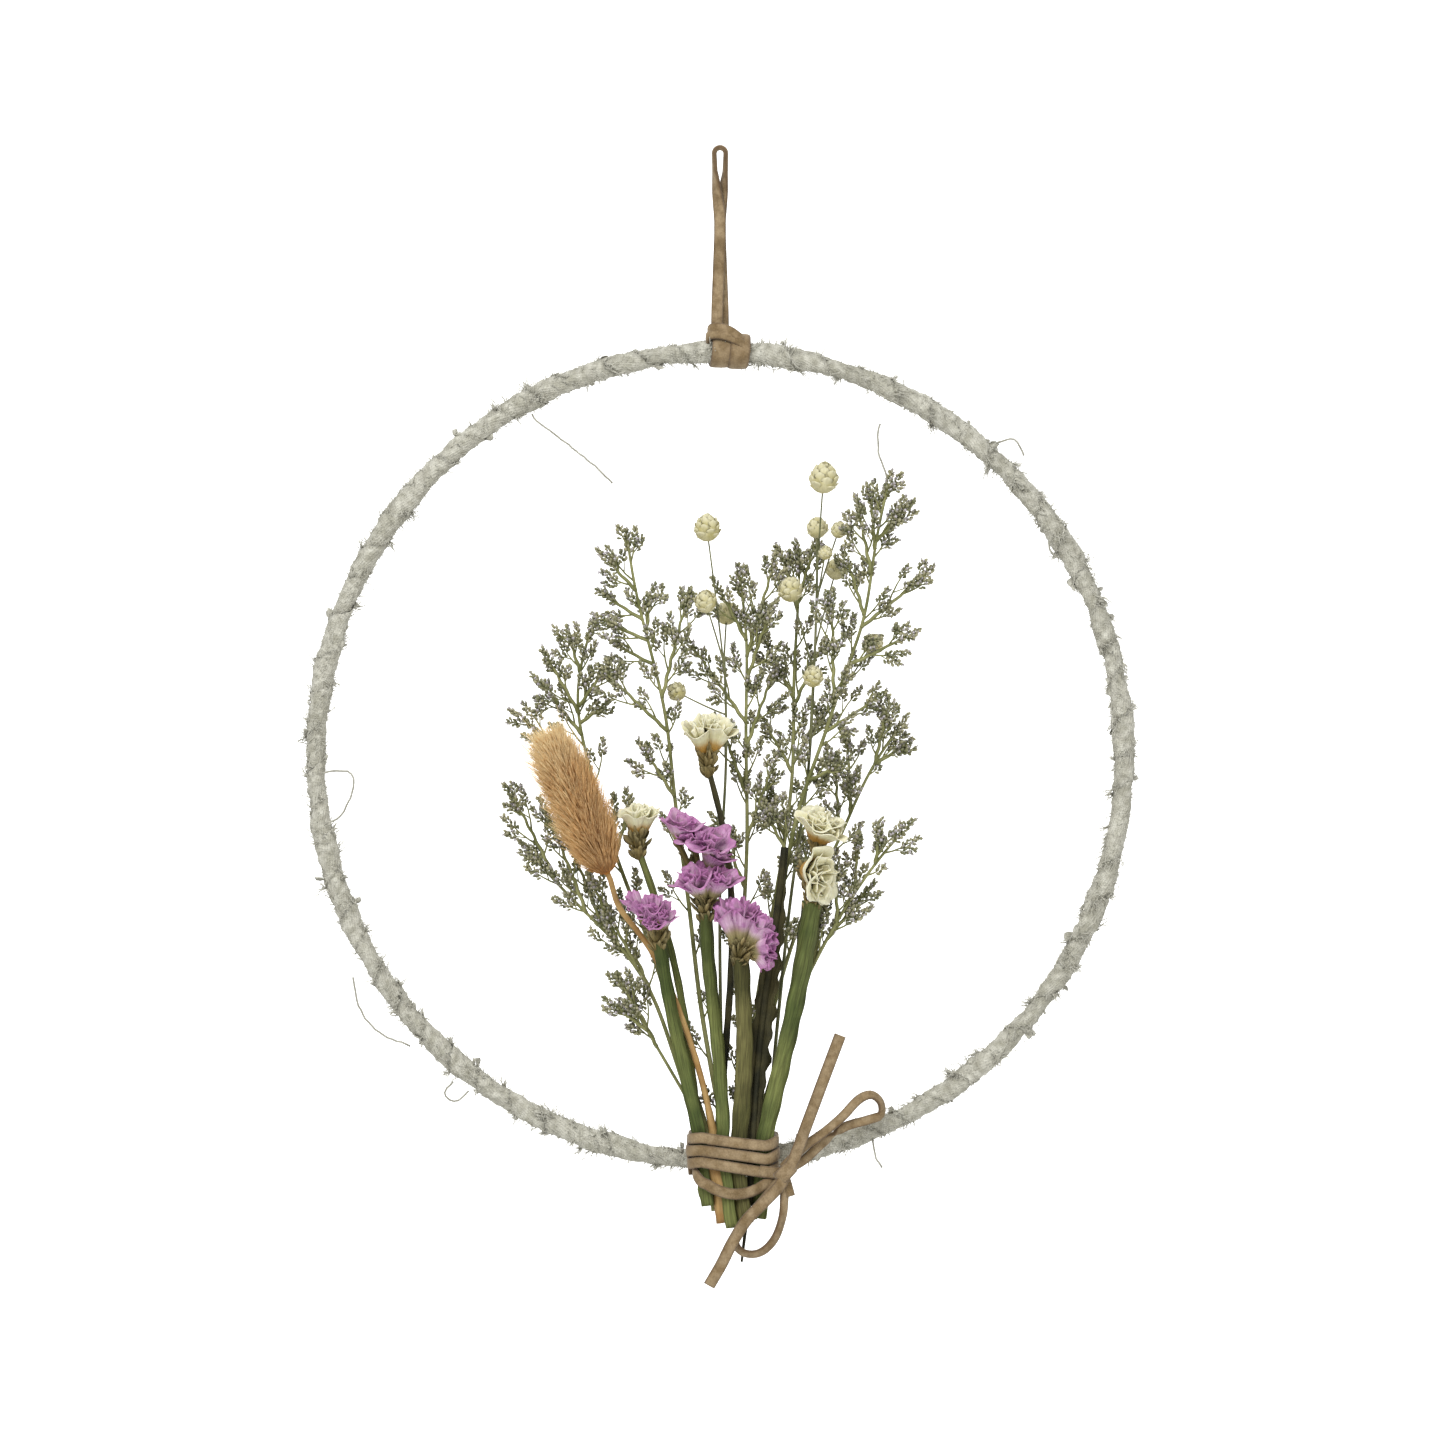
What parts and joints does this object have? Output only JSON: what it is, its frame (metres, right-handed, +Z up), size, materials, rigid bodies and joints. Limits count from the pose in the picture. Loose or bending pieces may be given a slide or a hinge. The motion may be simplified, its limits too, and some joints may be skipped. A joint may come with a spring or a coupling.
{
  "type": "dried flower hanger",
  "caption": "Cloth-wrapped wire hoop that hangs on a suede lace, with a bunch of dried flowers tied to its lower rim by a bow of the same lace",
  "frame": {"origin": "inner top of the hanging loop, where it rests on its pin or nail", "axes": "+Z up, the hoop lies in the XZ plane, and the bunch of flowers and the bow are in front of it, towards -Y"},
  "size_m": [0.1999, 0.0352, 0.2753],
  "materials": {
    "wire": "dull galvanised wire, hidden inside the cloth",
    "cloth": "undyed torn cotton strip with frayed edges",
    "suede": "matt tan suede",
    "bunny_tail": "soft dried grass head, brown with pale tips",
    "straw": "dry straw",
    "stem_green": "dried ridged green stem",
    "dark_stem": "dried dark olive stem",
    "spray": "dried olive twigs with grey purple florets",
    "lilac_petal": "dry papery lilac petals",
    "cream_petal": "dry papery cream petals",
    "globe": "dry scale-like cream petals",
    "thin_stem": "thin dried olive stems"
  },
  "bodies": {
    "root": {"hoop_wire": "wire", "hoop_wrap": "cloth", "hanging_lace": "suede", "binding_lace": "suede", "bunny_tail_head": "bunny_tail", "bunny_tail_stem": "straw", "statice_left_petals": "lilac_petal", "statice_left_stem": "stem_green", "statice_middle_petals": "lilac_petal", "statice_middle_stem": "stem_green", "statice_right_petals": "lilac_petal", "statice_right_stem": "stem_green", "white_left_petals": "cream_petal", "white_left_stem": "stem_green", "white_middle_petals": "cream_petal", "white_middle_stem": "dark_stem", "white_right_petals": "cream_petal", "white_right_stem": "stem_green", "dark_leafy_stem": "dark_stem", "caspia_far_left": "spray", "caspia_behind_tail": "spray", "caspia_left_tall": "spray", "caspia_centre": "spray", "caspia_centre_right": "spray", "caspia_right_tall": "spray", "caspia_right": "spray", "caspia_right_low": "spray", "caspia_low_left": "spray", "globe_stems_left": "thin_stem", "globe_stems_right": "thin_stem", "globe_flower_left_1": "globe", "globe_flower_left_2": "globe", "globe_flower_left_3": "globe", "globe_flower_left_4": "globe", "globe_flower_right_1": "globe", "globe_flower_right_2": "globe", "globe_flower_right_3": "globe", "globe_flower_right_4": "globe", "globe_flower_right_5": "globe", "globe_flower_right_6": "globe", "globe_flower_right_7": "globe", "globe_flower_right_8": "globe"}
  },
  "joints": []
}
